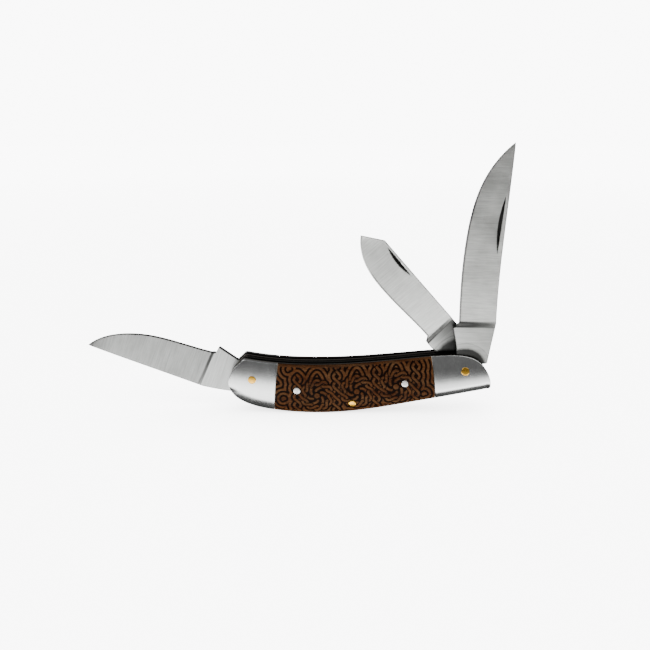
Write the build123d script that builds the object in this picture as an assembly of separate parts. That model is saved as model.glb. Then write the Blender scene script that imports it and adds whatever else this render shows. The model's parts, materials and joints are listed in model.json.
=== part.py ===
from build123d import *
import math
import os

# Three-blade folding whittling knife on a saddle-backed "sowbelly" frame.
# Millimetres. X runs along the handle (0 at its middle), +Z points out of the blade well,
# and Y is the thickness: the back cover's flat outer face is Y = 0 and the front is at -Y.
# The main and spey blades turn on the right pivot pin, the pen blade on the left one.

# ---- thicknesses, from the back cover to the front cover ----
COVER_T = 2.6          # wood covers and bolsters
LINER_T = 0.5          # outer liners and the two dividers between the blades
SLOT_W = 2.1           # one slot for each blade and its backspring
BLADE_T = 2.0          # blade stock, 0.05 mm free on each side of its slot
EDGE_T = 0.3           # thickness left behind the cutting edge
TIP_T = 0.8            # spine thickness at the point of a blade
NICK_DEPTH = 0.55      # nail nicks, from the full thickness of the stock

# ---- pins ----
RIGHT_PIVOT = (39.2, 4.8)
LEFT_PIVOT = (-40.35, 1.6)
CENTRE_PIN = (-2.8, -8.0)
SCALE_PINS = ((-23.7, -2.8), (16.8, 0.0))
PIVOT_R = 1.2          # shank of the brass pivot pins
PIVOT_HEAD_R = 1.6     # their spun heads, sunk in the bolsters
CENTRE_R = 1.2
CENTRE_HEAD_R = 1.35
RIVET_R = 0.9          # nickel-silver rivets that hold each wood cover to its liner
RIVET_HEAD_R = 1.25
HEAD_H = 0.8           # depth of every head
RUN_FIT = 0.05         # radial clearance of a blade on its pivot pin

# ---- springs and tangs ----
SPRING_GAP = 0.25      # free space between a tang and its spring
TANG_END = 1.0         # the open blade's shoulder stands this far past the pivot
TIP_GAP = 0.3          # gap between that shoulder and the spring's tip

# ---- handle outline ----
EDGE_ROUND = 1.0       # rounding of the covers' outer edges
CORNER_ROUND = 1.2     # rounding of the outline's two corners
TOP_LEFT = (-43.5, 9.3)
BOTTOM_RIGHT = (48.95, -2.2)

# ---- construction lines that run past the handle before they are trimmed to it ----
FAR_X = 60.0
FAR_UP = 14.0
FAR_DOWN = -16.0
PAST_BELLY = 20.0
PAST_CLIP = 12.0


def layer_centres():
    """The Y of the middle of each slot and of each liner, counted from the back."""
    y = -COVER_T
    liners = []
    slots = []
    for _ in range(3):
        liners.append(y - LINER_T / 2)
        y -= LINER_T
        slots.append(y - SLOT_W / 2)
        y -= SLOT_W
    liners.append(y - LINER_T / 2)
    return liners, slots, y - LINER_T


LINER_Y, SLOT_Y, FRONT_COVER_Y = layer_centres()
PEN_Y, SPEY_Y, MAIN_Y = SLOT_Y
KNIFE_T = -FRONT_COVER_Y + COVER_T


def side_plane(y):
    """A sketch plane at depth y whose X and Y are the knife's X and Z; its normal is -Y."""
    return Plane(origin=(0, y, 0), x_dir=(1, 0, 0), z_dir=(0, -1, 0))


def slab(sketch, y_mid, thickness):
    """The sketch as a plate of this thickness centred on y_mid."""
    return extrude(side_plane(y_mid) * sketch, amount=thickness / 2, both=True)


def disc(centre, radius):
    return Pos(*centre) * Circle(radius)


def rod(centre, radius, y_from, y_to):
    return slab(disc(centre, radius), (y_from + y_to) / 2, abs(y_to - y_from))


# ---- handle ----

def handle_outline():
    """Saddle top, bowed belly, round right end with a corner at the bottom, chamfered left end."""
    saddle = Spline(
        TOP_LEFT, (-31.0, 7.5), (-16.0, 6.9), (0.0, 7.55), (26.0, 10.0), (36.0, 10.45),
        (44.4, 8.2), (48.5, 2.0), BOTTOM_RIGHT,
    )
    belly = Spline(
        BOTTOM_RIGHT, (38.2, -4.35), (20.0, -7.7), (2.0, -10.85), (-16.0, -12.2),
        (-33.0, -10.85), (-43.3, -7.8), (-48.4, -3.1), (-49.1, 1.2), (-48.3, 3.7),
    )
    chamfer = Line((-48.3, 3.7), TOP_LEFT)
    outline = make_face([saddle, belly, chamfer])
    corners = outline.vertices().filter_by(
        lambda v: min(math.dist((v.X, v.Y), TOP_LEFT), math.dist((v.X, v.Y), BOTTOM_RIGHT)) < 0.01
    )
    return fillet(corners, CORNER_ROUND)


OUTLINE = handle_outline()


def joint_zone(side):
    """The region of a bolster: beyond the slightly curved line where it meets the wood."""
    if side == "left":
        line = ThreePointArc((-30.0, FAR_UP), (-31.6, -1.0), (-32.6, FAR_DOWN))
        far = -FAR_X
    else:
        line = ThreePointArc((26.2, FAR_UP), (27.7, 2.0), (29.3, FAR_DOWN))
        far = FAR_X
    rest = Polyline(line @ 1, (far, FAR_DOWN), (far, FAR_UP), line @ 0)
    return make_face([line, rest])


def cover_set(side):
    """One side of the handle as left bolster, wood cover and right bolster, with its pin holes."""
    if side == "back":
        inner, outer = -COVER_T, 0.0
    else:
        inner, outer = FRONT_COVER_Y, -KNIFE_T
    blank = slab(OUTLINE, (inner + outer) / 2, COVER_T)
    rim = blank.edges().filter_by_position(Axis.Y, outer - 0.01, outer + 0.01)
    blank = fillet(rim, EDGE_ROUND)
    blank -= pin_space(PIVOT_R, PIVOT_HEAD_R, (LEFT_PIVOT, RIGHT_PIVOT))
    blank -= pin_space(CENTRE_R, CENTRE_HEAD_R, (CENTRE_PIN,))
    blank -= pin_space(RIVET_R, RIVET_HEAD_R, SCALE_PINS)
    left = slab(joint_zone("left"), (inner + outer) / 2, COVER_T)
    right = slab(joint_zone("right"), (inner + outer) / 2, COVER_T)
    return blank & left, blank - left - right, blank & right


def pin_body(shank_r, head_r, centre):
    """A pin through the whole knife: a shank with a head sunk flush in each cover."""
    pin = rod(centre, shank_r, 0.0, -KNIFE_T)
    pin += rod(centre, head_r, 0.0, -HEAD_H)
    pin += rod(centre, head_r, -KNIFE_T + HEAD_H, -KNIFE_T)
    return pin


def pin_space(shank_r, head_r, centres):
    space = Part()
    for centre in centres:
        space += pin_body(shank_r, head_r, centre)
    return space


def rivets(side):
    """The two short rivets of one cover: a head in the wood and a shank through the liner."""
    if side == "back":
        outer, inner, step = 0.0, -COVER_T - LINER_T, -HEAD_H
    else:
        outer, inner, step = -KNIFE_T, FRONT_COVER_Y + LINER_T, HEAD_H
    solids = []
    for centre in SCALE_PINS:
        rivet = rod(centre, RIVET_R, outer, inner) + rod(centre, RIVET_HEAD_R, outer, outer + step)
        solids += rivet.solids()
    return solids


def liner(y, with_rivets):
    plate = OUTLINE - disc(LEFT_PIVOT, PIVOT_R) - disc(RIGHT_PIVOT, PIVOT_R)
    plate -= disc(CENTRE_PIN, CENTRE_R)
    if with_rivets:
        for centre in SCALE_PINS:
            plate -= disc(centre, RIVET_R)
    return slab(plate, y, LINER_T)


# ---- blades ----
# Each blade is drawn in its own frame: the pivot is (0, 0), x runs towards the point along the
# tang's back, and y points to the spine. rest_deg is the direction of that x axis, in degrees
# from +X towards +Z, as the knife is shown.

class Blade:
    def __init__(self, pivot, y, rest_deg, closed_deg, open_deg, spine_side, run_r, tang, spine, edge,
                 nick, clip=None):
        self.pivot = pivot
        self.y = y
        self.rest_deg = rest_deg
        self.closed_deg = closed_deg
        self.open_deg = open_deg
        self.spine_side = spine_side    # -1: the spine is clockwise of the point's direction
        self.run_r = run_r
        self.tang = tang
        self.spine = spine
        self.edge = edge
        self.nick = nick
        self.clip = clip

    def plane(self, deg):
        a = math.radians(deg)
        return Plane(
            origin=(self.pivot[0], self.y, self.pivot[1]),
            x_dir=(math.cos(a), 0, math.sin(a)),
            z_dir=(0, -self.spine_side, 0),
        )

    def point(self, deg, along, towards_spine):
        """The knife's X and Z of a point of the blade when the blade points in direction deg."""
        spot = self.plane(deg).from_local_coords(Vector(along, towards_spine, 0))
        return spot.X, spot.Z


MAIN = Blade(
    pivot=RIGHT_PIVOT, y=MAIN_Y, rest_deg=88.6, closed_deg=186.2, open_deg=12.0, spine_side=-1, run_r=5.0,
    tang=[(9.8, 9.45), (2.4, 8.5), (2.2, 6.2), (TANG_END, 5.7), (TANG_END, 4.0), (0, 0), (2.0, -3.3),
          (8.7, -3.3), (15.95, -5.0)],
    spine=[(17.9, 10.55), (50.0, 10.65), (70.0, 11.4), (82.9, 11.75)],
    edge=[(17.9, -3.1), (34.0, -3.5), (49.0, -2.85), (60.5, -1.2), (71.5, 2.6), (78.8, 7.5), (82.7, 11.4)],
    nick=((44.0, 8.7), (52.0, 7.9), (62.5, 9.7)),
)

SPEY = Blade(
    pivot=RIGHT_PIVOT, y=SPEY_Y, rest_deg=131.6, closed_deg=185.1, open_deg=12.0, spine_side=-1, run_r=4.2,
    tang=[(9.5, 8.9), (3.7, 8.75), (TANG_END + 0.1, 7.6), (TANG_END, 3.0), (0, 0), (2.5, -2.9),
          (9.0, -3.3), (13.8, -4.1), (16.9, -4.0)],
    spine=[(18.1, 9.05), (44.0, 9.05), (66.0, 9.15)],
    edge=[(18.1, -2.35), (31.0, -2.95), (44.0, -3.4), (54.4, -2.0), (60.5, 1.0), (63.5, 3.7)],
    nick=((40.3, 7.9), (46.5, 6.9), (53.8, 8.3)),
    clip=((56.2, 9.15), (63.5, 3.7)),
)

PEN = Blade(
    pivot=LEFT_PIVOT, y=PEN_Y, rest_deg=159.6, closed_deg=-3.9, open_deg=159.6, spine_side=1, run_r=5.1,
    tang=[(13.0, 11.6), (8.5, 10.8), (3.0, 9.6), (TANG_END, 9.1), (TANG_END, 4.0), (0, 0), (2.5, -2.9),
          (7.8, -2.9), (15.9, -5.1), (16.3, -2.4)],
    spine=[(16.8, 12.1), (24.0, 12.05), (45.0, 11.95), (63.0, 11.75)],
    edge=[(16.8, -2.35), (32.0, -1.35), (43.5, 0.05), (52.0, 2.85), (58.0, 6.3), (62.8, 11.4)],
    nick=((36.0, 10.2), (42.0, 9.5), (50.0, 10.3)),
)


def rail(points, half_start, half_end, side):
    """A blade's edge or spine line, on one face, thinning evenly from the plunge to the point."""
    start, end = points[0][0], points[-1][0]
    path = []
    for x, y in points:
        share = (x - start) / (end - start)
        path.append((x, y, side * (half_start + (half_end - half_start) * share)))
    return Spline(*path)


def ground_part(blade):
    """The flat-ground part of a blade, thinning from the spine to the edge and to the point."""
    rails = {}
    for side in (1, -1):
        rails["spine", side] = rail(blade.spine, BLADE_T / 2, TIP_T / 2, side)
        rails["edge", side] = rail(blade.edge, EDGE_T / 2, EDGE_T / 2, side)
    faces = []
    for first, second in (
        (("edge", 1), ("spine", 1)), (("edge", -1), ("spine", -1)),
        (("edge", 1), ("edge", -1)), (("spine", 1), ("spine", -1)),
    ):
        faces.append(Face.make_surface_from_curves(rails[first], rails[second]))
    for end in (0, 1):
        corners = [rails[key] @ end for key in (("edge", 1), ("spine", 1), ("spine", -1), ("edge", -1))]
        faces.append(make_face(Polyline(*corners, close=True)).face())
    body = Solid(Shell(faces))
    if blade.clip:
        first, last = (Vector(*corner) for corner in blade.clip)
        along = (last - first).normalized() * PAST_CLIP
        outwards = Vector(-along.Y, along.X)
        start, end = first - along, last + along
        beyond = make_face(Polyline(start, end, end + outwards, start + outwards, close=True))
        body = body - extrude(beyond, amount=BLADE_T, both=True)
    return body


def tang_part(blade):
    """The full-thickness tang: ricasso, kick, shoulder and the round that runs on the spring."""
    ring = [blade.spine[0], *blade.tang, blade.edge[0]]
    sketch = make_face(Polyline(*ring, close=True)) + Circle(blade.run_r)
    return extrude(sketch, amount=BLADE_T / 2, both=True)


def nail_nick(blade):
    """The crescent cut in one face, which a thumbnail catches."""
    start, middle, end = blade.nick
    sketch = make_face([ThreePointArc(start, middle, end), Line(end, start)])
    return Pos(0, 0, -BLADE_T / 2) * extrude(sketch, amount=NICK_DEPTH, both=True)


def blade_solid(blade):
    body = tang_part(blade) + ground_part(blade)
    body -= nail_nick(blade)
    body -= extrude(Circle(PIVOT_R + RUN_FIT), amount=BLADE_T, both=True)
    return blade.plane(blade.rest_deg) * body


# ---- backsprings ----

def beyond_tip(blade):
    """What the open blade's shoulder needs: everything past the end of the spring's tip."""
    along = TANG_END - TIP_GAP
    past = along + PAST_BELLY
    corners = [(along, 0), (along, PAST_BELLY), (past, PAST_BELLY), (past, 0)]
    points = [blade.point(blade.open_deg, *corner) for corner in corners]
    return make_face(Polyline(*points, close=True))


def spring(blade, inner, fixed_end, far_corner):
    """A backspring, flush with the belly: a flat under the tang and kick, a curve, and its fixed end.

    The flat clears the closed blade's kick and the round of its tang by the same gap.
    """
    kick_along, kick_depth = min(blade.tang, key=lambda p: p[1])
    rest = blade.point(blade.closed_deg, kick_along, kick_depth - SPRING_GAP)
    foot = blade.point(blade.closed_deg, 0, -blade.run_r - SPRING_GAP)
    flat = Line(rest, Vector(*foot) * 2 - Vector(*rest))
    end_slope = Vector(*fixed_end[0]) - Vector(*inner[-1])
    curve = Spline(rest, *inner, fixed_end[0], tangents=[-(flat % 0), end_slope])
    ring = Polyline(*fixed_end, far_corner, (flat @ 1) - Vector(0, PAST_BELLY), flat @ 1)
    band = make_face([flat, curve, ring])
    sketch = (OUTLINE & band) - beyond_tip(blade)
    for centre, radius in ((CENTRE_PIN, CENTRE_R), (LEFT_PIVOT, PIVOT_R), (RIGHT_PIVOT, PIVOT_R)):
        sketch -= disc(centre, radius)
    return slab(sketch, blade.y, SLOT_W)


def main_spring():
    """Its fixed end hooks under the left pivot pin, below the closed blade's point."""
    hook = [(-36.5, -2.4), (-38.6, 0.6), (-42.3, 0.9), (-44.5, -0.5), (-FAR_X, -0.5)]
    return spring(MAIN, [(-3.0, -6.1), (-22.0, -7.0)], hook, (-FAR_X, -PAST_BELLY))


def spey_spring():
    """Its fixed end is drilled for the left pivot pin."""
    eye = [(-36.3, -1.0), (-37.6, 3.4), (-40.3, 4.6), (-FAR_X, 4.6)]
    return spring(SPEY, [(-3.0, -6.1), (-22.0, -6.6)], eye, (-FAR_X, -PAST_BELLY))


def pen_spring():
    """Its fixed end is drilled for the right pivot pin."""
    eye = [(34.6, 4.0), (36.4, 7.6), (39.2, 8.6), (FAR_X, 8.6)]
    return spring(PEN, [(-3.0, -6.1), (24.0, -2.6)], eye, (FAR_X, -PAST_BELLY))


def build():
    nodes = {}
    for side in ("front", "back"):
        left, wood, right = cover_set(side)
        nodes[f"{side}_left_bolster"] = left
        nodes[f"{side}_scale"] = wood
        nodes[f"{side}_right_bolster"] = right
        nodes[f"{side}_scale_rivets"] = Compound(children=rivets(side))
    nodes["back_liner"] = liner(LINER_Y[0], True)
    nodes["back_divider"] = liner(LINER_Y[1], False)
    nodes["front_divider"] = liner(LINER_Y[2], False)
    nodes["front_liner"] = liner(LINER_Y[3], True)
    nodes["main_spring"] = main_spring()
    nodes["spey_spring"] = spey_spring()
    nodes["pen_spring"] = pen_spring()
    nodes["left_pivot_pin"] = pin_body(PIVOT_R, PIVOT_HEAD_R, LEFT_PIVOT)
    nodes["right_pivot_pin"] = pin_body(PIVOT_R, PIVOT_HEAD_R, RIGHT_PIVOT)
    nodes["centre_pin"] = pin_body(CENTRE_R, CENTRE_HEAD_R, CENTRE_PIN)
    nodes["main_blade"] = blade_solid(MAIN)
    nodes["spey_blade"] = blade_solid(SPEY)
    nodes["pen_blade"] = blade_solid(PEN)
    return nodes


os.makedirs("parts", exist_ok=True)
for name, shape in build().items():
    export_step(shape, f"parts/{name}.step")
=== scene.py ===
import json
import math

import bmesh
import bpy
import numpy as np
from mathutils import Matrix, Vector


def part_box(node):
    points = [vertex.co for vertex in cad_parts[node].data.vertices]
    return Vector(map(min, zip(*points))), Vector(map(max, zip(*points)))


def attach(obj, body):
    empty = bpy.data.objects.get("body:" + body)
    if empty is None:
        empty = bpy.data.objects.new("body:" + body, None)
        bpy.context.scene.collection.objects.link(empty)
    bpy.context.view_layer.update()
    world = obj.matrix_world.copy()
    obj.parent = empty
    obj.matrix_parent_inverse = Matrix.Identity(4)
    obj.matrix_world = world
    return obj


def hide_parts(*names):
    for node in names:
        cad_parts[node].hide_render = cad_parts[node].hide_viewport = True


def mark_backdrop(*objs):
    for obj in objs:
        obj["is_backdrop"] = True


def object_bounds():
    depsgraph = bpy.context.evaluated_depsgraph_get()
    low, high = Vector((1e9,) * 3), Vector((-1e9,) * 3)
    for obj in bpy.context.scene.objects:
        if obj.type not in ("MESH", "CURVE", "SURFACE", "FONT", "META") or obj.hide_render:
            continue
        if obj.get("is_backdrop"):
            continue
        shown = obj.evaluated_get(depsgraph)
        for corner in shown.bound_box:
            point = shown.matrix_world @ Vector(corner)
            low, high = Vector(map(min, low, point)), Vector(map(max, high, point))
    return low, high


# A three-blade whittling knife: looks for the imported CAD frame.
# Lengths are millimetres until a mesh is made, and metres after that.
# X runs along the handle, +Z out of the blade well, and the front of the knife is at -Y.

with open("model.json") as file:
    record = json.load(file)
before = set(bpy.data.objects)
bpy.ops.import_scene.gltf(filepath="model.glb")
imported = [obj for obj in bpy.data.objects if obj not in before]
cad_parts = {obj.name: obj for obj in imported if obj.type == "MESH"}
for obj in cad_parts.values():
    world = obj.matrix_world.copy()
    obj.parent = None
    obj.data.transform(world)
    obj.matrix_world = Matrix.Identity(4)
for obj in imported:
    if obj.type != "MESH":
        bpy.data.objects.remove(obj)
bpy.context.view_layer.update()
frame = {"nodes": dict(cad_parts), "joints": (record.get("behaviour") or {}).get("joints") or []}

MM = 0.001

# ---- handle covers ----
FRONT_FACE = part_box("front_scale")[0].y / MM
BACK_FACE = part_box("back_scale")[1].y / MM
FRONT_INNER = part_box("front_scale")[1].y / MM
BACK_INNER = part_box("back_scale")[0].y / MM
CROWN_DROP = 1.1        # the covers fall away by this much, half a handle's height from their ridge
CROWN_POWER = 2.2       # how flat the crown stays near the ridge
RIDGE_DROP = 1.6        # the ridge lies this far below the middle line at X 0
RIDGE_SLOPE = -0.058    # and runs down towards the right end
BELLY_ROLL = {"left": 0.6, "right": 1.4}    # how much more they fall away along the belly, at each end
ROLL_WIDTH = {"left": 4.2, "right": 3.2}    # and over what width
ROLL_FADE = (0.5, 4.0)  # at the left end the roll starts below this Z and is full this much lower
RIM_ROUND = 0.18        # radius of the rim itself
PIN_SINK = 0.35         # the wood is cut back this deep round its pin heads
PIN_CLEAR = 0.18        # and this far outside them
JOINT_GAP = 0.11        # half the dark line between wood and bolster
JOINT_BEVEL = 0.06
JOINT_BEVEL_WIDTH = 0.2
SPLIT = (-1.0, 0.02)    # height and slope of a line between the outline's top and its belly
BELLY_END_X = 48.0      # the belly reaches from the left end to here
COVER_SHARP_DEG = 50.0  # sharper corners than this are shaded as edges

# ---- pins ----
RIVET_HEAD_R = 1.25     # as in the CAD
RIVET_SHANK_R = 0.9
PIN_SHANK_R = 1.2
PIVOT_HEAD_R = (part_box("left_pivot_pin")[1].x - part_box("left_pivot_pin")[0].x) / MM / 2
CENTRE_HEAD_R = (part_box("centre_pin")[1].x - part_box("centre_pin")[0].x) / MM / 2
HEAD_LIFT = 0.06        # the heads stand this far out of the cover
HEAD_ROUND = 0.12       # and drop by this much round their rims
HEAD_RINGS = (0.001, 0.25, 0.5, 0.7, 0.84, 0.93, 0.98, 1.0, 1.0)
PIN_DOME = 0.06         # how much higher a head is in its middle
RIVET_DOME = 0.03

# ---- knotwork engraving ----
ROSETTES = ((-16.1, -4.7), (-1.2, -3.1), (13.5, -1.1))
ROSETTE_PITCH = 14.8
STRAP_PITCH = 1.66      # from the middle of one strap to the middle of the next
BURN_WIDTH = 0.66       # the dark line between them
BURN_DEPTH = 0.16
RIM_PLAIN = (0.45, 0.6)  # no cut lines this close to the rim, and full ones this much further in
RING_R = 5.2            # the two rings round a rosette, and how far they wave in and out
RING_WAVE = 0.9
PETALS = 6
PETAL_START = 2.05      # the petals' radius at the centre disc, their length and their swirl in radians
PETAL_LENGTH = 2.2
PETAL_SWIRL = 0.85
DISC_R = 1.15
LINK_WAVE = 1.25        # the crossing strands between rosettes: how far they wave and half their height
LINK_HALF = 8.6
LINK_RISE = 0.7         # their middle lies this far above the rosette's
LEFT_LINK_Z = -5.9
WOOD_COLUMNS = 430      # points along and across the engraved sheet
WOOD_ROWS = 140
ROW_CROWDING = 0.12     # how much the rows crowd towards the rim
BAND_TONE = 0.52        # the plain band at the rim is darker
PIN_RING_DARK = 0.85    # and so is the cut round a pin head
WALL_PAINTED_SHADE = (0.75, 0.1)  # painted shade on the side walls, from the face to the liner
CURL_R = 0.5
CURLS = ((-26.6, 5.6), (-8.7, 6.2), (6.1, 7.3), (20.9, 8.3), (-28.6, -6.0), (24.2, -4.0))

# ---- blades ----
BLADE_HALF = 1.0
EDGE_HALF = 0.15        # half thickness behind the edge bevel, as in the CAD
POINT_HALF = 0.4
CHAMFER = 0.10          # the broken corners of tang and spine
NICK_DEPTH = 0.5
SHOULDER_X = 1.0        # where the tang's end steps past the pivot, as in the CAD
PLUNGE_REACH = 2.5      # stations are close together for this far past the plunge
BODY_STEP = 0.26        # and this far apart on the rest of the blade
BLADE_SHARP_DEG = 32.0

# ---- what each blade's steel and tang look like ----
# each blade gets painted shade on its plunge, a painted highlight beside its nail nick and a painted
# reflection across its tang
BLADES = {
    "main": dict(direction=88.6, spine_side=-1, plunge=16.1, slant=0.2, ramp_length=2.3, plunge_shade_tone=0.58,
                 nick=((44.0, 8.7), (52.0, 7.8), (64.8, 10.0)), nick_painted_highlight=1.3, tang_painted_reflection=(0.88, 0.66)),
    "spey": dict(direction=131.6, spine_side=-1, plunge=15.7, slant=1.4, ramp_length=1.6, plunge_shade_tone=0.85,
                 nick=((40.3, 7.9), (46.5, 6.9), (53.8, 8.3)), nick_painted_highlight=1.15, tang_painted_reflection=(1.15, 0.20)),
    "pen": dict(direction=159.6, spine_side=1, plunge=16.8, slant=1.2, ramp_length=1.2, plunge_shade_tone=0.6,
                nick=((36.0, 10.2), (42.0, 9.5), (50.0, 10.3)), nick_painted_highlight=1.15, tang_painted_reflection=(1.0, 1.0)),
}
STEEL_TINTS = {"main": (0.72, 0.73, 0.70), "spey": (0.66, 0.67, 0.645), "pen": (0.51, 0.52, 0.505)}

# radius of the painted shadow and painted dark reflection on the tang round its pivot, the tone of that
# painted shade, and the radius of a thin wear arc
TANG_SHADE_AND_WEAR = {"main": (8.3, 0.07, 10.2), "spey": (11.8, 0.10, 13.2), "pen": (7.0, 0.40, 8.6)}

# ---- studio, in metres ----
STUDIO_TILT_DEG = 8.0
WORLD_BANDS = (         # elevation in degrees and brightness of what the metal reflects
    (-90, 0.05), (-53, 0.10), (-47, 0.6), (-41, 4.8), (-24, 5.2),
    (-17, 2.6), (-12, 0.60), (-8, 0.24), (4, 0.13), (90, 0.22),
)
FLOOR_R = 6.0
BACKDROP_R = 5.9
NEAR_GLOW = 8.0
FAR_GLOW = 9.5
CAMERA_ELEVATION_DEG = 15.5
CAMERA_DISTANCE = 0.260
CAMERA_TARGET = (-0.013086, -0.00675, 0.021062)


# ---------------------------------------------------------------- reading the frame

def cad_segments(node, u_axis, v_axis):
    """The edges of a CAD node as two arrays of (u, v) end points, u and v being directions."""
    mesh = frame["nodes"][node].data
    corners = np.zeros(len(mesh.vertices) * 3)
    mesh.vertices.foreach_get("co", corners)
    corners = corners.reshape(-1, 3) / MM
    pairs = np.zeros(len(mesh.edges) * 2, int)
    mesh.edges.foreach_get("vertices", pairs)
    flat = np.stack([corners @ np.array(u_axis), corners @ np.array(v_axis)], 1)
    return flat[pairs.reshape(-1, 2)[:, 0]], flat[pairs.reshape(-1, 2)[:, 1]]


def spans(segments, stations):
    """The lowest and highest v of the segments where they cross each u station."""
    a, b = segments
    low, high = [], []
    for station in stations:
        crossing = ((a[:, 0] - station) * (b[:, 0] - station) <= 0) & (np.abs(a[:, 0] - b[:, 0]) > 1e-9)
        share = (station - a[crossing, 0]) / (b[crossing, 0] - a[crossing, 0])
        v = a[crossing, 1] + share * (b[crossing, 1] - a[crossing, 1])
        low.append(v.min())
        high.append(v.max())
    return np.array(low), np.array(high)


def handle_outline(step=0.2):
    """The handle's outline, read from the front liner, as a closed ring of evenly spaced points."""
    mesh = frame["nodes"]["front_liner"].data
    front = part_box("front_liner")[0].y + 1e-5
    points = {(round(v.co.x / MM, 4), round(v.co.z / MM, 4)) for v in mesh.vertices if v.co.y < front}
    points = np.array(sorted(points))
    inside = np.zeros(len(points), bool)
    for hole in hole_centres():
        inside |= np.hypot(points[:, 0] - hole[0], points[:, 1] - hole[1]) < 1.5
    points = points[~inside]
    angle = np.arctan2(points[:, 1] - SPLIT[0], points[:, 0])
    points = points[np.argsort(angle)]
    closed = np.vstack([points[-1:], points, points[:2]])
    length = np.concatenate([[0], np.cumsum(np.hypot(*np.diff(closed, axis=0).T))])
    slope = np.gradient(closed, length, axis=0)
    wanted = np.arange(length[1], length[-2], step)
    i = np.searchsorted(length, wanted, side="right") - 1
    h = (length[i + 1] - length[i])[:, None]
    t = ((wanted - length[i])[:, None]) / h
    return (
        (2 * t**3 - 3 * t**2 + 1) * closed[i] + (t**3 - 2 * t**2 + t) * h * slope[i]
        + (3 * t**2 - 2 * t**3) * closed[i + 1] + (t**3 - t**2) * h * slope[i + 1]
    )


def node_centre(node):
    low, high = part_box(node)
    return (low.x + high.x) / 2 / MM, (low.z + high.z) / 2 / MM


def rivet_centres():
    """The two rivets of a scale are one node, so its two ends give their centres."""
    low, high = (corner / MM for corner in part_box("front_scale_rivets"))
    mesh = frame["nodes"]["front_scale_rivets"].data
    found = []
    for x in (low.x + RIVET_HEAD_R, high.x - RIVET_HEAD_R):
        near = [v.co.z / MM for v in mesh.vertices if abs(v.co.x / MM - x) < 2 * RIVET_HEAD_R]
        found.append((x, (min(near) + max(near)) / 2))
    return found


def hole_centres():
    pins = [node_centre(name) for name in ("left_pivot_pin", "right_pivot_pin", "centre_pin")]
    return pins + rivet_centres()


OUTLINE = handle_outline()
IN_TOP = OUTLINE[:, 1] > SPLIT[0] + OUTLINE[:, 0] * SPLIT[1]
UPPER = OUTLINE[IN_TOP][np.argsort(OUTLINE[IN_TOP][:, 0])]
LOWER = OUTLINE[~IN_TOP][np.argsort(OUTLINE[~IN_TOP][:, 0])]
BELLY = OUTLINE[: np.argmax(OUTLINE[:, 0] > BELLY_END_X)]


def handle_middle():
    """The handle's middle line and half height as smooth functions of X, from its straighter part."""
    x = np.linspace(-38.0, 38.0, 39)
    top = np.interp(x, UPPER[:, 0], UPPER[:, 1])
    bottom = np.interp(x, LOWER[:, 0], LOWER[:, 1])
    middle = np.poly1d(np.polyfit(x, (top + bottom) / 2, 2))
    half_height = np.poly1d(np.polyfit(x, (top - bottom) / 2, 2))
    return middle, half_height


MIDDLE, HALF_HEIGHT = handle_middle()


def joint_line(side):
    """A function that gives the bolster joint's X at each Z: a parabola through the CAD scale's end.

    The heights leave out the corners of the scale, where the outline bends away from the joint.
    """
    low, high = (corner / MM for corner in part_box("front_scale"))
    bottom_gap, top_gap = (3.0, 5.0) if side == "left" else (10.0, 0.8)
    heights = np.linspace(low.z + bottom_gap, high.z - top_gap, 9)
    left, right = spans(cad_segments("front_scale", (0, 0, 1), (1, 0, 0)), heights)
    return np.poly1d(np.polyfit(heights, left if side == "left" else right, 2))


JOINTS = {"left": joint_line("left"), "right": joint_line("right")}


# ---------------------------------------------------------------- meshes

def smooth_step(t):
    t = np.clip(t, 0.0, 1.0)
    return t * t * (3 - 2 * t)


def rise(value, start, over):
    """0 up to start, 1 from start + over, and a smooth step between them."""
    return smooth_step((value - start) / over)


def fall(value, start, over):
    return 1 - rise(value, start, over)


def quads(rows, columns, offset):
    """Faces of a rows x columns sheet of points, numbered row by row from offset."""
    i, j = np.meshgrid(np.arange(rows - 1), np.arange(columns - 1), indexing="ij")
    a = (i * columns + j + offset).ravel()
    return np.stack([a, a + 1, a + columns + 1, a + columns], 1)


def make_piece(name, sheets, body, material, replaced, sharp_deg, tones=None):
    """One welded mesh from sheets of points in millimetres, each an array (rows, columns, 3).

    It is shown in place of the CAD node named by replaced. tones is the tone attribute of its points.
    """
    points, faces, offset = [], [], 0
    for sheet in sheets:
        rows, columns = sheet.shape[:2]
        points.append(sheet.reshape(-1, 3))
        faces.append(quads(rows, columns, offset))
        offset += rows * columns
    mesh = bpy.data.meshes.new(name)
    mesh.from_pydata((np.vstack(points) * MM).tolist(), [], np.vstack(faces).tolist())
    if tones is not None:
        layer = mesh.attributes.new("tone", "FLOAT", "POINT")
        layer.data.foreach_set("value", np.asarray(tones, np.float32))
    work = bmesh.new()
    work.from_mesh(mesh)
    bmesh.ops.remove_doubles(work, verts=work.verts, dist=2e-6)
    bmesh.ops.dissolve_degenerate(work, edges=work.edges, dist=1e-6)
    bmesh.ops.recalc_face_normals(work, faces=work.faces)
    work.to_mesh(mesh)
    work.free()
    mesh.shade_smooth()
    mesh.set_sharp_from_angle(angle=math.radians(sharp_deg))
    mesh.materials.append(material)
    piece = bpy.data.objects.new(name, mesh)
    bpy.context.scene.collection.objects.link(piece)
    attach(piece, body)
    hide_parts(replaced)


def distance_to(path, x, z):
    """How far each point lies from a line through the points of path."""
    best = np.full(x.shape, 1e9)
    for (ax, az), (bx, bz) in zip(path[:-1], path[1:]):
        dx, dz = bx - ax, bz - az
        t = np.clip(((x - ax) * dx + (z - az) * dz) / (dx * dx + dz * dz), 0, 1)
        best = np.minimum(best, np.hypot(x - ax - t * dx, z - az - t * dz))
    return best


def rim_distance(x, z):
    """How far inside the handle's outline each point lies."""
    return distance_to(np.vstack([OUTLINE[::2], OUTLINE[:1]]), x, z)


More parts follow.
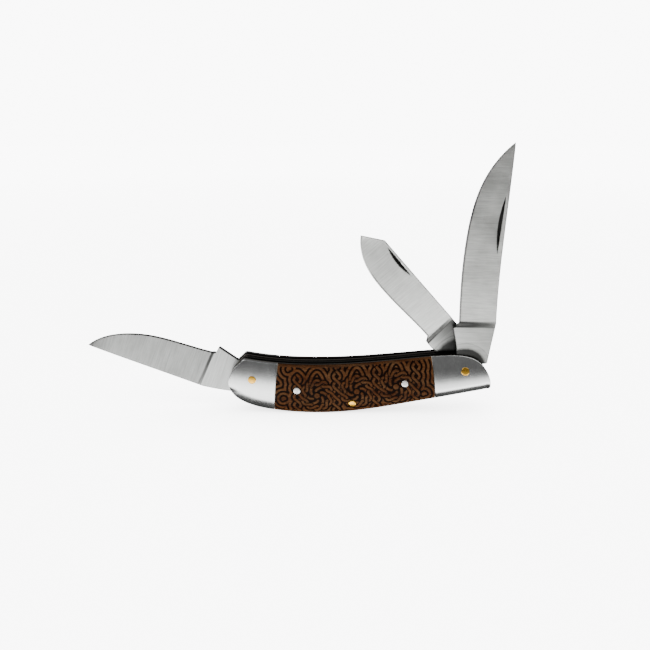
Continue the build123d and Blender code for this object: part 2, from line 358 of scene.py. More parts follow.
def pin_distance(x, z):
    """How far outside the nearest pin head in the wood each point lies."""
    heads = [(centre, RIVET_HEAD_R) for centre in rivet_centres()]
    heads.append((node_centre("centre_pin"), CENTRE_HEAD_R))
    return np.min([np.hypot(x - centre[0], z - centre[1]) - radius for centre, radius in heads], axis=0)


def cover_y(side, x, z, lift=0.0):
    """The Y of a cover's face, crowned from top edge to belly, lift being outwards."""
    across = np.abs(z - MIDDLE(x) + RIDGE_DROP - RIDGE_SLOPE * x) / HALF_HEIGHT(x)
    inside = np.clip(1 - rim_distance(x, z) / RIM_ROUND, 0, 1)
    ends = (BELLY[0, 0], BELLY[-1, 0])
    width = np.interp(x, ends, (ROLL_WIDTH["left"], ROLL_WIDTH["right"]))
    depth = np.interp(x, ends, (BELLY_ROLL["left"], BELLY_ROLL["right"]))
    roll = np.clip(1 - distance_to(BELLY[::3], x, z) / width, 0, 1)
    roll = roll * np.where(x < 0, smooth_step((ROLL_FADE[0] - z) / ROLL_FADE[1]), 1.0)
    drop = CROWN_DROP * across**CROWN_POWER + depth * roll**2
    drop = drop + RIM_ROUND * (1 - np.sqrt(1 - inside * inside))
    return FRONT_FACE + drop - lift if side == "front" else BACK_FACE - drop + lift


def rim_spacing(count):
    """Shares from 0 to 1 that crowd towards 1, where the rim is rounded."""
    t = np.linspace(0, 1, count)
    return 1 - (1 - t) ** 1.8


def wall(ring_x, ring_z, y_outer, y_inner):
    """A side wall that joins a face's edge to the same edge on the cover's inner plane."""
    outer = np.stack([ring_x, y_outer, ring_z], -1)
    inner = np.stack([ring_x, np.full_like(ring_x, y_inner), ring_z], -1)
    return np.stack([outer, inner])


# ---------------------------------------------------------------- engraving

def rosette_rings(centre):
    """Two wavy rings that pass over and under each other round a rosette."""
    t = np.linspace(0, 2 * math.pi, 420)
    for sign in (1, -1):
        r = RING_R + sign * RING_WAVE * np.cos(PETALS * t)
        path = np.stack([centre[0] + r * np.cos(t), centre[1] + r * np.sin(t)], 1)
        yield path, sign * np.sin(PETALS * t)


def rosette_petals(centre):
    """Straps that swirl out from the centre disc, each lying over the start of the next."""
    t = np.linspace(0, 1, 40)
    for k in range(PETALS):
        turn = math.radians(100 + 360 / PETALS * k) - PETAL_SWIRL * t
        r = PETAL_START + PETAL_LENGTH * t
        path = np.stack([centre[0] + r * np.cos(turn), centre[1] + r * np.sin(turn)], 1)
        yield path, 0.4 - 1.2 * t


def rosette_disc(centre):
    t = np.linspace(0, 2 * math.pi, 40)
    r = DISC_R - STRAP_PITCH / 2 + 0.25
    yield np.stack([centre[0] + r * np.cos(t), centre[1] + r * np.sin(t)], 1), np.full(40, 2.0)


def link_strands(x_middle, z_middle):
    """Two wavy strands that cross between rosettes."""
    t = np.linspace(-1, 1, 160)
    for sign in (1, -1):
        wave = 2.5 * math.pi * t
        path = np.stack([x_middle + sign * LINK_WAVE * np.cos(wave), z_middle + LINK_HALF * t], 1)
        yield path, sign * 0.9 * np.sin(wave)


def arches(centre):
    """A pointed loop over a rosette."""
    t = np.linspace(0, 1, 120)
    angle = math.pi * t
    path = np.stack([
        centre[0] - 2.2 * np.cos(angle) * (1.2 - 0.35 * np.sin(angle)),
        centre[1] + 4.6 + 4.6 * np.sin(angle) ** 0.8,
    ], 1)
    yield path, 0.5 * np.cos(3 * angle)


def curls():
    """Small curls near the edges, which the burnt lines go round in loops."""
    t = np.linspace(0, 1, 20)
    for x, z in CURLS:
        path = np.stack([x + CURL_R * np.cos(4 * t), z + CURL_R * np.sin(4 * t)], 1)
        yield path, np.full(20, -1.5)


def all_strands():
    """Every strand as a path of points with, at each point, its level: the highest one shows."""
    for centre in ROSETTES:
        yield from rosette_rings(centre)
        yield from rosette_petals(centre)
        yield from rosette_disc(centre)
        yield from arches(centre)
    half = ROSETTE_PITCH / 2
    for centre in (*ROSETTES, (ROSETTES[0][0] - ROSETTE_PITCH, LEFT_LINK_Z)):
        yield from link_strands(centre[0] + half, centre[1] + LINK_RISE)
    yield from curls()


def engraving(x, z):
    """1 on the crest of a strap, 0 in a burnt line; strands pass over and under each other."""
    flat_x, flat_z = x.ravel(), z.ravel()
    nearest = np.full(flat_x.shape, 1e9)
    top = np.full(flat_x.shape, -1e9)
    top_distance = np.zeros(flat_x.shape)
    half = STRAP_PITCH / 2
    reach = 6.0
    for path, over in all_strands():
        low, high = path.min(0) - reach, path.max(0) + reach
        in_x = (flat_x > low[0]) & (flat_x < high[0])
        near = np.nonzero(in_x & (flat_z > low[1]) & (flat_z < high[1]))[0]
        if len(near) == 0:
            continue
        gap = np.hypot(flat_x[near, None] - path[None, :, 0], flat_z[near, None] - path[None, :, 1])
        closest = gap.argmin(1)
        distance = gap[np.arange(len(near)), closest]
        nearest[near] = np.minimum(nearest[near], distance)
        height = over[closest]
        wins = (distance < half) & (height > top[near])
        top[near[wins]] = height[wins]
        top_distance[near[wins]] = distance[wins]
    distance = np.where(top > -1e8, top_distance, nearest)
    from_crest = np.abs((distance + half) % STRAP_PITCH - half)
    level = fall(from_crest, half - BURN_WIDTH, 0.8 * BURN_WIDTH)
    return level.reshape(x.shape)


# ---------------------------------------------------------------- materials

def new_material(name):
    material = bpy.data.materials.new(name)
    material.use_nodes = True
    tree = material.node_tree
    return material, tree, tree.nodes["Principled BSDF"]


def add_node(tree, kind, inputs=None, **settings):
    node = tree.nodes.new(kind)
    for key, value in settings.items():
        setattr(node, key, value)
    for key, value in (inputs or {}).items():
        if isinstance(value, bpy.types.NodeSocket):
            tree.links.new(value, node.inputs[key])
        else:
            node.inputs[key].default_value = value
    return node


def place(tree, turn_deg=0.0, size=(1.0, 1.0, 1.0)):
    """Object coordinates turned about Y, with one noise cell per size, in millimetres."""
    where = add_node(tree, "ShaderNodeTexCoord")
    return add_node(
        tree, "ShaderNodeMapping", {
            "Vector": where.outputs["Object"],
            "Rotation": (0, math.radians(turn_deg), 0),
            "Scale": tuple(s * MM for s in size),
        }, vector_type="TEXTURE",
    ).outputs["Vector"]


def noise(tree, vector, detail=2.0, roughness=0.5):
    return add_node(tree, "ShaderNodeTexNoise", {
        "Vector": vector, "Scale": 1.0, "Detail": detail, "Roughness": roughness,
    }).outputs["Fac"]


def ramp(tree, factor, stops):
    node = add_node(tree, "ShaderNodeValToRGB", {"Fac": factor})
    elements = node.color_ramp.elements
    elements[0].position, elements[0].color = stops[0][0], (*stops[0][1], 1)
    elements[1].position, elements[1].color = stops[-1][0], (*stops[-1][1], 1)
    for position, colour in stops[1:-1]:
        elements.new(position).color = (*colour, 1)
    return node.outputs["Color"]


def grey(value):
    return (value, value, value)


def multiply(tree, a, b):
    return add_node(tree, "ShaderNodeMix", {0: 1.0, 6: a, 7: b}, data_type="RGBA",
                    blend_type="MULTIPLY").outputs[2]


def spread(tree, factor, low, high):
    return add_node(tree, "ShaderNodeMapRange", {
        "Value": factor, "From Min": 0.3, "From Max": 0.7, "To Min": low, "To Max": high,
    }).outputs["Result"]


def bump(tree, height, strength, distance, normal=None):
    inputs = {"Height": height, "Strength": strength, "Distance": distance * MM}
    if normal is not None:
        inputs["Normal"] = normal
    return add_node(tree, "ShaderNodeBump", inputs).outputs["Normal"]


def brushed_metal(name, colour, roughness, turn_deg, line=0.10, length=9.0, streak=0.5, depth=0.5,
                  mottle=0.10, contrast=0.20):
    """Satin metal with fine grinding lines that run across local X after turning by turn_deg."""
    material, tree, shader = new_material(name)
    fine = noise(tree, place(tree, turn_deg, (line, line * 2, length)), 3.0, 0.65)
    broad = noise(tree, place(tree, turn_deg, (streak, streak * 2, length * 2.5)), 3.0, 0.6)
    cloud = noise(tree, place(tree, 0, (9.0, 9.0, 9.0)), 3.0, 0.6)
    tint = ramp(tree, broad, [(0.3, tuple(c * (1 - 1.6 * mottle) for c in colour)), (0.7, colour)])
    tint = multiply(tree, tint, ramp(tree, fine, [(0.25, grey(1 - contrast)), (0.65, grey(1.0))]))
    tint = multiply(tree, tint, ramp(tree, cloud, [(0.3, grey(1 - mottle)), (0.65, grey(1.0))]))
    tree.links.new(tint, shader.inputs["Base Color"])
    shader.inputs["Metallic"].default_value = 1.0
    tree.links.new(spread(tree, cloud, roughness * 0.88, roughness * 1.15), shader.inputs["Roughness"])
    lines = bump(tree, fine, depth, 0.012)
    tree.links.new(bump(tree, broad, depth * 0.4, 0.03, lines), shader.inputs["Normal"])
    return material


def add_tang_shade_and_wear(material, pivot, shade_r, shade_tone, arc_r):
    """The tone attribute, a painted shadow and painted dark reflection on the tang round the pivot, where
    it turns between the liners, and a thin wear arc.
    """
    tree = material.node_tree
    shader = tree.nodes["Principled BSDF"]
    where = add_node(tree, "ShaderNodeTexCoord").outputs["Object"]
    flat = add_node(tree, "ShaderNodeVectorMath", {0: where, 1: (1, 0, 1)}, operation="MULTIPLY")
    centre = (pivot[0] * MM, 0, pivot[2] * MM)
    off = add_node(tree, "ShaderNodeVectorMath", {0: flat.outputs[0], 1: centre}, operation="DISTANCE")
    ragged = spread(tree, noise(tree, place(tree, 0, (1.6, 1.6, 1.6)), 3.0, 0.6), 0.985, 1.015)
    scaled = add_node(tree, "ShaderNodeMath", {0: off.outputs["Value"], 1: 0.5 / (arc_r * MM)},
                      operation="MULTIPLY")
    scaled = add_node(tree, "ShaderNodeMath", {0: scaled.outputs[0], 1: ragged}, operation="MULTIPLY")
    shade_edge = 0.5 * shade_r / arc_r
    # painted shade inside its radius, lighter painted shade out to the wear arc, and then the thin dark
    # wear arc
    shade_and_wear = ramp(tree, scaled.outputs[0], [
        (0.0, grey(shade_tone * 0.5)), (shade_edge - 0.03, grey(shade_tone)), (shade_edge + 0.02, grey(0.75)),
        (0.487, grey(0.85)), (0.495, grey(0.55)), (0.505, grey(1.0)),
    ])
    before = shader.inputs["Base Color"].links[0].from_socket
    tone = add_node(tree, "ShaderNodeAttribute", attribute_name="tone").outputs["Fac"]
    tree.links.new(multiply(tree, multiply(tree, before, shade_and_wear), tone), shader.inputs["Base Color"])


def plain_metal(name, colour, roughness, cell=0.6, depth=0.3):
    """Metal that was tumbled or polished: no direction, small marks and a little tarnish."""
    material, tree, shader = new_material(name)
    grain = noise(tree, place(tree, 0, (cell / 4,) * 3), 3.0, 0.6)
    tarnish = noise(tree, place(tree, 0, (cell * 2,) * 3), 4.0, 0.65)
    tint = ramp(tree, tarnish, [(0.35, tuple(c * 0.72 for c in colour)), (0.6, colour)])
    tree.links.new(tint, shader.inputs["Base Color"])
    shader.inputs["Metallic"].default_value = 1.0
    tree.links.new(spread(tree, tarnish, roughness * 1.3, roughness * 0.85), shader.inputs["Roughness"])
    tree.links.new(bump(tree, grain, depth, 0.01), shader.inputs["Normal"])
    return material


def engraved_rosewood():
    """Oiled rosewood with long pores; the tone attribute darkens the burnt lines, and carries the painted
    shade on the side walls.
    """
    material, tree, shader = new_material("engraved_rosewood")
    carved = add_node(tree, "ShaderNodeAttribute", attribute_name="tone").outputs["Fac"]
    pores = noise(tree, place(tree, 4.0, (2.6, 0.5, 0.22)), 4.0, 0.7)
    figure = noise(tree, place(tree, 6.0, (16.0, 3.0, 1.8)), 4.0, 0.6)
    soot = noise(tree, place(tree, 0, (0.5, 0.5, 0.5)), 3.0, 0.6)
    warm = noise(tree, place(tree, 0, (7.0, 7.0, 5.0)), 2.0, 0.5)
    wood = ramp(tree, figure, [
        (0.30, (0.040, 0.013, 0.005)), (0.48, (0.080, 0.034, 0.013)), (0.62, (0.104, 0.050, 0.021)),
        (0.72, (0.058, 0.021, 0.008)),
    ])
    wood = multiply(tree, wood, ramp(tree, warm, [(0.35, (1.0, 0.82, 0.68)), (0.65, (1.0, 1.0, 1.0))]))
    wood = multiply(tree, wood, ramp(tree, pores, [(0.36, grey(0.42)), (0.50, grey(1.0))]))
    burnt = ramp(tree, soot, [(0.35, (0.0010, 0.0002, 0.0001)), (0.7, (0.008, 0.0018, 0.0006))])
    char = ramp(tree, carved, [(0.15, grey(0.0)), (0.75, grey(1.0))])
    colour = add_node(tree, "ShaderNodeMix", {0: char, 6: burnt, 7: wood}, data_type="RGBA").outputs[2]
    tree.links.new(colour, shader.inputs["Base Color"])
    tree.links.new(spread(tree, pores, 0.62, 0.44), shader.inputs["Roughness"])
    shader.inputs["Specular IOR Level"].default_value = 0.04
    tree.links.new(bump(tree, pores, 0.35, 0.03), shader.inputs["Normal"])
    return material


# ---------------------------------------------------------------- the covers

def wood_cover(side, material):
    """An engraved scale: a fine sheet over the wood, with walls down to the liner."""
    low, high = (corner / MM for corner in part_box("front_scale"))
    u = np.linspace(0, 1, WOOD_COLUMNS)[None, :].repeat(WOOD_ROWS, 0)
    v = np.linspace(0, 1, WOOD_ROWS)
    v = (0.5 - 0.5 * np.cos(math.pi * v)) * ROW_CROWDING + v * (1 - ROW_CROWDING)
    v = v[:, None].repeat(WOOD_COLUMNS, 1)
    z = low.z + (high.z - low.z) * v
    for _ in range(6):
        left = JOINTS["left"](z) + JOINT_GAP
        right = JOINTS["right"](z) - JOINT_GAP
        x = left + (right - left) * u
        bottom = np.interp(x, LOWER[:, 0], LOWER[:, 1])
        top = np.interp(x, UPPER[:, 0], UPPER[:, 1])
        z = bottom + (top - bottom) * v
    inner_field = rise(rim_distance(x, z), *RIM_PLAIN)
    carved = 1 - (1 - engraving(x, z)) * inner_field
    end = np.minimum(x - left, right - x)
    bevel = JOINT_BEVEL * np.clip(1 - end / JOINT_BEVEL_WIDTH, 0, 1)
    sunk = fall(pin_distance(x, z), PIN_CLEAR, 0.12)
    cut = BURN_DEPTH * (1 - carved) * (1 - sunk) + PIN_SINK * sunk + bevel
    y = cover_y(side, x, z, -cut)
    tone = carved * (BAND_TONE + (1 - BAND_TONE) * inner_field) * (1 - PIN_RING_DARK * sunk)
    face = np.stack([x, y, z], -1)
    inner = FRONT_INNER if side == "front" else BACK_INNER
    edges = [face[0], face[-1], face[:, 0], face[:, -1]]
    sheets = [face] + [wall(e[:, 0], e[:, 2], e[:, 1], inner) for e in edges]
    # the side walls get painted shade, darker towards the liner
    tones = [tone.ravel()] + [np.repeat(WALL_PAINTED_SHADE, len(e)) for e in edges]
    make_piece(f"{side}_wood_scale", sheets, "handle", material, f"{side}_scale",
               COVER_SHARP_DEG, np.concatenate(tones))


def bolster(side, end, material):
    """A crowned bolster: the sheet fans out from the wood joint to the outline round the end."""
    joint = JOINTS[end]
    sign = -1 if end == "left" else 1
    past = (OUTLINE[:, 0] - joint(OUTLINE[:, 1]) - sign * JOINT_GAP) * sign > 0
    start = np.nonzero(past & ~np.roll(past, 1))[0][0]
    ring = np.roll(OUTLINE, -start, axis=0)[: past.sum()]
    if ring[0, 1] > ring[-1, 1]:
        ring = ring[::-1]
    heights = np.linspace(ring[0, 1], ring[-1, 1], len(ring))
    line = np.stack([joint(heights) + sign * JOINT_GAP, heights], 1)
    ring[0], ring[-1] = line[0], line[-1]
    u = rim_spacing(60)[:, None, None]
    flat = line[None] * (1 - u) + ring[None] * u
    x, z = flat[..., 0], flat[..., 1]
    bevel = JOINT_BEVEL * np.clip(1 - np.abs(x - joint(z)) / JOINT_BEVEL_WIDTH, 0, 1)
    y = cover_y(side, x, z, -bevel)
    face = np.stack([x, y, z], -1)
    inner = FRONT_INNER if side == "front" else BACK_INNER
    sheets = [face]
    for edge in (face[0], face[-1]):
        sheets.append(wall(edge[:, 0], edge[:, 2], edge[:, 1], inner))
    make_piece(f"{side}_{end}_bolster_crowned", sheets, "handle", material,
               f"{side}_{end}_bolster", COVER_SHARP_DEG)


def head_sheet(side, centre, radius, dome):
    """A pin head that follows the cover's crown, with a low dome and a rounded rim."""
    t = np.linspace(0, 2 * math.pi, 49)
    share = np.array(HEAD_RINGS)[:, None]
    x = centre[0] + radius * share * np.cos(t)
    z = centre[1] + radius * share * np.sin(t)
    lift = dome * (1 - share**2) + HEAD_LIFT - HEAD_ROUND * rise(share, 0.88, 0.12)
    lift[-1] = -PIN_SINK - 0.1      # the head's side goes down into the cover
    y = cover_y(side, x, z, lift)
    return np.stack([x, y, z], -1)


def pin_shank(centre, radius, y_from, y_to):
    """The tube between a pin's heads."""
    t = np.linspace(0, 2 * math.pi, 33)
    ring = np.stack([centre[0] + radius * np.cos(t), 0 * t, centre[1] + radius * np.sin(t)], -1)
    return np.stack([ring + (0, y_from, 0), ring + (0, y_to, 0)])


def through_pin(node, radius, material):
    """A brass pin through the whole handle, with a head in each cover."""
    centre = node_centre(node)
    sheets = [head_sheet(side, centre, radius, PIN_DOME) for side in ("front", "back")]
    sheets.append(pin_shank(centre, PIN_SHANK_R, FRONT_FACE + 1.0, BACK_FACE - 1.0))
    make_piece(f"{node}_turned", sheets, "handle", material, node, COVER_SHARP_DEG)


def scale_rivets(side, material):
    """The two short rivets that hold one scale to its liner."""
    outer, inner = (FRONT_FACE, FRONT_INNER) if side == "front" else (BACK_FACE, BACK_INNER)
    sheets = []
    for centre in rivet_centres():
        sheets.append(head_sheet(side, centre, RIVET_HEAD_R, RIVET_DOME))
        sheets.append(pin_shank(centre, RIVET_SHANK_R, (outer + inner) / 2, inner))
    make_piece(f"{side}_scale_rivets_domed", sheets, "handle", material,
               f"{side}_scale_rivets", COVER_SHARP_DEG)


# ---------------------------------------------------------------- the blades

def blade_axes(joint, direction, spine_side):
    """A blade's pivot, and its directions to the point, to the spine and through its thickness."""
    pivot = np.array(joint["pos_m"]) / MM
    a = math.radians(direction)
    along = np.array((math.cos(a), 0, math.sin(a)))
    through = np.array((0.0, -spine_side, 0.0))
    return pivot, along, np.cross(through, along), through


def blade_profile(node, pivot, along, across, plunge):
    """Stations along the CAD blade, where its edge is and how wide it is at each, and its point."""
    segments = cad_segments(node, along, across)
    offset = np.array((pivot @ along, pivot @ across))
    segments = (segments[0] - offset, segments[1] - offset)
    first = min(ends[:, 0].min() for ends in segments)
    last = max(ends[:, 0].max() for ends in segments)
    stations = blade_stations(first, last, plunge)
    low, high = spans(segments, stations)
    point = (high[-1] + low[-1]) / 2
    low[-1] = point
    high[-1] = point
    return stations, low, high - low, last


def blade(name, node, joint, direction, spine_side, plunge, slant, ramp_length, plunge_shade_tone, nick, nick_painted_highlight,
          tang_painted_reflection, material):
    """A flat-ground blade in its own frame: x to the point, y to the spine, z through its thickness.

    plunge is where the grind starts, slant how far it leans towards the point at the spine,
    ramp_length how far it takes to reach full depth and plunge_shade_tone how dark the painted shade is
    there. nick is the start, middle and end of the nail nick on the -z face, which is painted nearly black
    as painted shade, and nick_painted_highlight how bright the painted highlight on the steel between
    nick and spine is. tang_painted_reflection are the tones of a painted reflection across the tang, at
    its edge side and its spine side.
    """
    pivot, along, across, through = blade_axes(joint, direction, spine_side)
    stations, low, width, last = blade_profile(node, pivot, along, across, plunge)
    from_edge = blade_rows(width)
    x = stations[:, None].repeat(from_edge.shape[1], 1)
    y = low[:, None] + from_edge
    width = width[:, None]
    to_spine = width - from_edge
    start = plunge + slant * from_edge / width.max()
    chamfer = CHAMFER * np.clip(1 - np.minimum(from_edge, to_spine) / 0.12, 0, 1)
    spine_chamfer = CHAMFER * np.clip(1 - to_spine / 0.15, 0, 1)
    tang = smooth_step(plunge - x)
    half = blade_half(x, from_edge, width, start, last, ramp_length)
    half = np.minimum(half - chamfer * tang - spine_chamfer * (1 - tang), BLADE_HALF)
    cut, black, bright = nail_nick(x, y, nick)
    flat = pivot + x[..., None] * along + y[..., None] * across
    plus = flat + half[..., None] * through
    minus = flat + (cut - half)[..., None] * through
    tone = blade_tone(x, from_edge, width, start, last, ramp_length, plunge_shade_tone, tang_painted_reflection)
    # the nick's face gets a painted highlight between the nick and the spine, and painted shade that makes
    # the nick nearly black
    nicked = tone * (1 + (nick_painted_highlight - 1) * bright * rise(to_spine, 0.25, 0.2)) * (1 - 0.94 * black)
    sheets = [plus, minus]
    tones = [tone, nicked]
    for edge in (np.s_[:, 0], np.s_[:, -1], np.s_[0]):
        sheets.append(np.stack([plus[edge], minus[edge]]))
        tones.append(np.stack([tone[edge], tone[edge]]))
    make_piece(name, sheets, joint["child"], material, node, BLADE_SHARP_DEG,
               np.concatenate([sheet.ravel() for sheet in tones]))


def blade_tone(x, from_edge, width, start, last, ramp_length, plunge_shade_tone, tang_painted_reflection):
    """How bright the steel is painted: painted shade on the plunge and a darker painted line where it
    starts, thin painted dark lines at edge and spine and round the tang, and a painted reflection across
    the tang.
    """
    past = (x - start) / ramp_length
    ground = smooth_step(past)
    # painted shade on the plunge ramp, and a darker painted line where it starts
    plunge = rise(past, 0.0, 0.12) * fall(past, 0.9, 0.25)
    plunge_start_shade = rise(past, -0.08, 0.1) * fall(past, 0.12, 0.2)
    to_point = (x - start) / (last - start)
    # thin painted dark lines along the edge and the spine, and round the tang
    edge_painted_shade = fall(from_edge, 0.55, 0.2) * ground * (1 - 0.6 * rise(to_point, 0.66, 0.12))
    spine_painted_shade = fall(width - from_edge, 0.16, 0.14) * ground
    tang_rim_painted_shade = fall(np.minimum(from_edge, width - from_edge), 0.14, 0.14) * (1 - ground)
    # a painted reflection across the tang, brighter at its edge side than at its spine side
    edge_share = (1 - from_edge / np.maximum(width, 1e-6)) ** 2.5
    tang = tang_painted_reflection[1] + (tang_painted_reflection[0] - tang_painted_reflection[1]) * edge_share
    tone = tang + (1 - tang) * rise(past, 0.0, 0.3)
    tone = tone * (1 - (1 - plunge_shade_tone) * plunge) * (1 - 0.35 * plunge_start_shade)
    return tone * (1 - 0.7 * edge_painted_shade) * (1 - 0.5 * spine_painted_shade) * (1 - 0.6 * tang_rim_painted_shade)


def blade_stations(first, last, plunge):
    """Stations along the blade: close together at the tang's end, the plunge and the point."""
    tang = first + (plunge - first) * np.linspace(0, 1, 90)
    ground = plunge + PLUNGE_REACH
    grind = np.linspace(plunge, ground, 26)[1:]
    length = last - ground
    body = ground + length * np.linspace(0, 1, int(length / BODY_STEP))[1:]
    shoulder = SHOULDER_X + np.array((-1e-3, 1e-3, 0.1))
    near_point = last - np.array((0.35, 0.2, 0.1, 0.05, 0.02))
    ends = first + (1 - np.cos(np.linspace(0, math.pi / 2, 14))) * 1.6
    stations = np.unique(np.concatenate([tang, grind, body, shoulder, near_point, ends]))
    stations = stations[np.concatenate([[True], np.diff(stations) > 5e-4])]
    stations[0] += 1e-4
    stations[-1] = last - 1e-3
    return stations


def blade_rows(width):
    """Distances from the cutting edge for each station, close together at the edge and the spine."""
    near_edge = np.array((0.0, 0.18, 0.36, 0.44, 0.52, 0.60))
    near_spine = np.array((0.34, 0.26, 0.18, 0.12, 0.06, 0.0))
    middle = np.linspace(0, 1, 70)[1:-1]
    rows = []
    for w in width:
        scale = min(1.0, w / 2.0)
        start, stop = near_edge[-1] * scale, w - near_spine[0] * scale
        between = start + (stop - start) * middle
        rows.append(np.concatenate([near_edge * scale, between, w - near_spine * scale]))
    return np.array(rows)


def blade_half(x, from_edge, width, plunge, last, ramp_length):
    """Half the blade's thickness: full at the tang, then ground flat, with a bevel at the edge."""
    share = np.clip((x - plunge) / (last - plunge), 0, 1)
    spine_half = BLADE_HALF + (POINT_HALF - BLADE_HALF) * share
    flat = EDGE_HALF + (spine_half - EDGE_HALF) * np.clip(from_edge / np.maximum(width, 1e-6), 0, 1)
    bevel = 0.02 + 0.30 * from_edge
    ground = np.minimum(flat, bevel)
    ramp_share = smooth_step((x - plunge) / ramp_length)
    return BLADE_HALF + (ground - BLADE_HALF) * ramp_share


def nail_nick(x, y, nick):
    """A crescent cut that a thumbnail catches: a steep wall by the spine, a slope towards the edge.

    Returns its depth, where it is painted nearly black as painted shade, and 1 between it and the spine,
    where a painted highlight goes.
    """
    start, middle, end = (np.array(p) for p in nick)
    chord = end - start
    length = np.hypot(*chord)
    chord = chord / length
    normal = np.array((-chord[1], chord[0]))
    bulge = (middle - start) @ normal
    u = ((x - start[0]) * chord[0] + (y - start[1]) * chord[1]) / length
    v = ((x - start[0]) * normal[0] + (y - start[1]) * normal[1]) / bulge
    reach = 4 * np.clip(u, 0, 1) * (1 - np.clip(u, 0, 1))
    across = v / np.maximum(reach, 1e-3)
    inside = (u > 0) & (u < 1) & (across > -0.05) & (across < 1)
    profile = rise(across, -0.05, 0.22) * (1 - np.clip(across, 0, 1)) ** 0.8
    depth = np.where(inside, NICK_DEPTH * profile * np.minimum(1, reach * 2.2), 0.0)
    # painted shade: the nick is painted nearly black
    black = rise(across, -0.15, 0.2) * fall(across, 0.85, 0.2) * (reach > 0.02)
    beside = (v < 0) * rise(u, 0.0, 0.1) * fall(u, 0.95, 0.1)
    return depth, black, beside


# ---------------------------------------------------------------- stage

def soft_box(name, place_at, power, size=0.7):
    """A square light that points at the knife."""
    data = bpy.data.lights.new(name, "AREA")
    data.shape = "RECTANGLE"
    data.size = size
    data.size_y = size
    data.energy = power
    light = bpy.data.objects.new(name, data)
    light.location = place_at
    light.rotation_mode = "QUATERNION"
    light.rotation_quaternion = (-Vector(place_at)).to_track_quat("-Z", "Y")
    bpy.context.scene.collection.objects.link(light)


def pale(name, albedo, near_glow, far_glow):
    """A matt glowing surface with painted shade: a little darker close to the knife and brighter far away
    from it, and a painted shadow where the floor meets the knife, from ambient occlusion.
    """
    material, tree, shader = new_material(name)
    shader.inputs["Base Color"].default_value = (*grey(albedo), 1)
    shader.inputs["Roughness"].default_value = 0.9
    shader.inputs["Specular IOR Level"].default_value = 0.0
    where = add_node(tree, "ShaderNodeTexCoord")
    distance = add_node(tree, "ShaderNodeVectorMath", {0: where.outputs["Object"]}, operation="LENGTH")
    glow = add_node(tree, "ShaderNodeMapRange", {
        "Value": distance.outputs["Value"], "From Min": 0.25, "From Max": 1.6,
        "To Min": near_glow, "To Max": far_glow,
    })
    tree.links.new(glow.outputs["Result"], shader.inputs["Emission Strength"])
    # painted shadow: ambient occlusion darkens the glow where the floor meets the knife
    painted_contact_shadow = add_node(tree, "ShaderNodeAmbientOcclusion", {"Distance": 0.045}, samples=12)
    tree.links.new(ramp(tree, painted_contact_shadow.outputs["AO"], [(0.0, grey(0.30)), (0.95, grey(1.0))]),
                   shader.inputs["Emission Color"])
    return material


def studio_world():
    """Soft surroundings: dim above level, bright a little below it, and dark straight down."""
    world = bpy.data.worlds.new("studio")
    world.use_nodes = True
    tree = world.node_tree
    where = add_node(tree, "ShaderNodeTexCoord")
    tilt = math.radians(STUDIO_TILT_DEG)
    height = add_node(tree, "ShaderNodeVectorMath", {
        0: where.outputs["Generated"], 1: (math.sin(tilt), 0, math.cos(tilt)),
    }, operation="DOT_PRODUCT").outputs["Value"]
    level = add_node(tree, "ShaderNodeMapRange", {"Value": height, "From Min": -1.0, "From Max": 1.0})
    stops = [((math.sin(math.radians(deg)) + 1) / 2, grey(value)) for deg, value in WORLD_BANDS]
    tree.links.new(ramp(tree, level.outputs["Result"], stops), tree.nodes["Background"].inputs["Color"])
    bpy.context.scene.world = world


def build_stage(floor_z):
    """A pale floor and backdrop for the camera; the metal reflects the studio world instead."""
    centre = (0, 0, floor_z)
    bpy.ops.mesh.primitive_circle_add(vertices=96, radius=FLOOR_R, fill_type="NGON", location=centre)
    floor = bpy.context.object
    floor.name = "floor"
    floor.data.materials.append(pale("pale_floor", 0.88, NEAR_GLOW, FAR_GLOW))
    bpy.ops.mesh.primitive_uv_sphere_add(segments=64, ring_count=32, radius=BACKDROP_R, location=centre)
    dome = bpy.context.object
    dome.name = "backdrop"
    dome.data.materials.append(pale("pale_backdrop", 0.0, FAR_GLOW, FAR_GLOW))
    for ray in ("visible_diffuse", "visible_glossy", "visible_transmission", "visible_shadow"):
        setattr(floor, ray, False)
        setattr(dome, ray, False)
    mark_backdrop(floor, dome)
    studio_world()


def build_camera():
    """The knife is seen from in front and a little above."""
    elevation = math.radians(CAMERA_ELEVATION_DEG)
    data = bpy.data.cameras.new("camera")
    data.lens = 38.4
    data.sensor_width = 36.0
    data.clip_start, data.clip_end = 0.01, 20.0
    camera = bpy.data.objects.new("camera", data)
    back = Vector((0, -math.cos(elevation), math.sin(elevation)))
    camera.location = Vector(CAMERA_TARGET) + back * CAMERA_DISTANCE
    camera.rotation_mode = "QUATERNION"
    camera.rotation_quaternion = (-back).to_track_quat("-Z", "Y")
    bpy.context.scene.collection.objects.link(camera)
    bpy.context.scene.camera = camera


# ---------------------------------------------------------------- build

def dress_cad_node(node, material):
    """A CAD node that is shown as it is gets its material."""
    materials = frame["nodes"][node].data.materials
    materials.clear()
    materials.append(material)


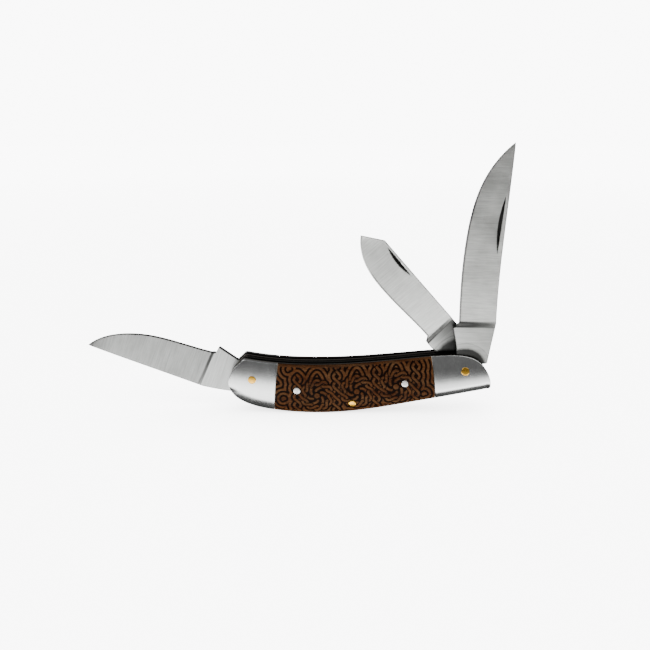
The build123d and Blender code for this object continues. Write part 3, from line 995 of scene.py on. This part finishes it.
bolster_metal = brushed_metal("bolster_satin", (0.76, 0.77, 0.76), 0.20, 0.0, line=0.09, length=12.0,
                              streak=0.45, depth=0.35, mottle=0.08, contrast=0.28)
# a nearly black copy of the liner steel: painted shade for the inside of the blade well
shaded_liner_metal = brushed_metal("liner_steel", (0.07, 0.07, 0.065), 0.42, 90.0, line=0.12, length=8.0)
rail_metal = brushed_metal("rail_steel", (0.30, 0.28, 0.25), 0.40, 90.0, line=0.12, length=8.0)
spring_metal = brushed_metal("spring_steel", (0.30, 0.30, 0.29), 0.32, 0.0, line=0.10, length=6.0)
brass = plain_metal("turned_brass", (0.85, 0.47, 0.06), 0.26)
silver = plain_metal("nickel_silver", (0.90, 0.88, 0.83), 0.38)
rosewood = engraved_rosewood()

for side in ("front", "back"):
    wood_cover(side, rosewood)
    scale_rivets(side, silver)
    for end in ("left", "right"):
        bolster(side, end, bolster_metal)

through_pin("left_pivot_pin", PIVOT_HEAD_R, brass)
through_pin("right_pivot_pin", PIVOT_HEAD_R, brass)
through_pin("centre_pin", CENTRE_HEAD_R, brass)

for key, shape in BLADES.items():
    metal = brushed_metal(f"{key}_blade_satin", STEEL_TINTS[key], 0.33, -shape["direction"], length=5.0,
                          streak=0.45, depth=0.4, mottle=0.16)
    joint = next(j for j in frame["joints"] if j["name"] == f"{key}_pivot")
    add_tang_shade_and_wear(metal, np.array(joint["pos_m"]) / MM, *TANG_SHADE_AND_WEAR[key])
    blade(f"{key}_blade_ground", f"{key}_blade", joint, material=metal, **shape)

# the front liner and back divider show their edges in the lighter rail steel; the back liner and front
# divider get the nearly black copy, painted shade in the blade well
for node in ("front_liner", "back_liner", "front_divider", "back_divider"):
    shows_its_edge = node in ("front_liner", "back_divider")
    dress_cad_node(node, rail_metal if shows_its_edge else shaded_liner_metal)
for node in ("main_spring", "spey_spring", "pen_spring"):
    dress_cad_node(node, spring_metal)

build_camera()
build_stage(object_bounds()[0].z)
soft_box("key", (-0.45, -0.35, 0.85), power=5.0)
soft_box("fill", (0.55, -0.30, 0.80), power=3.4)
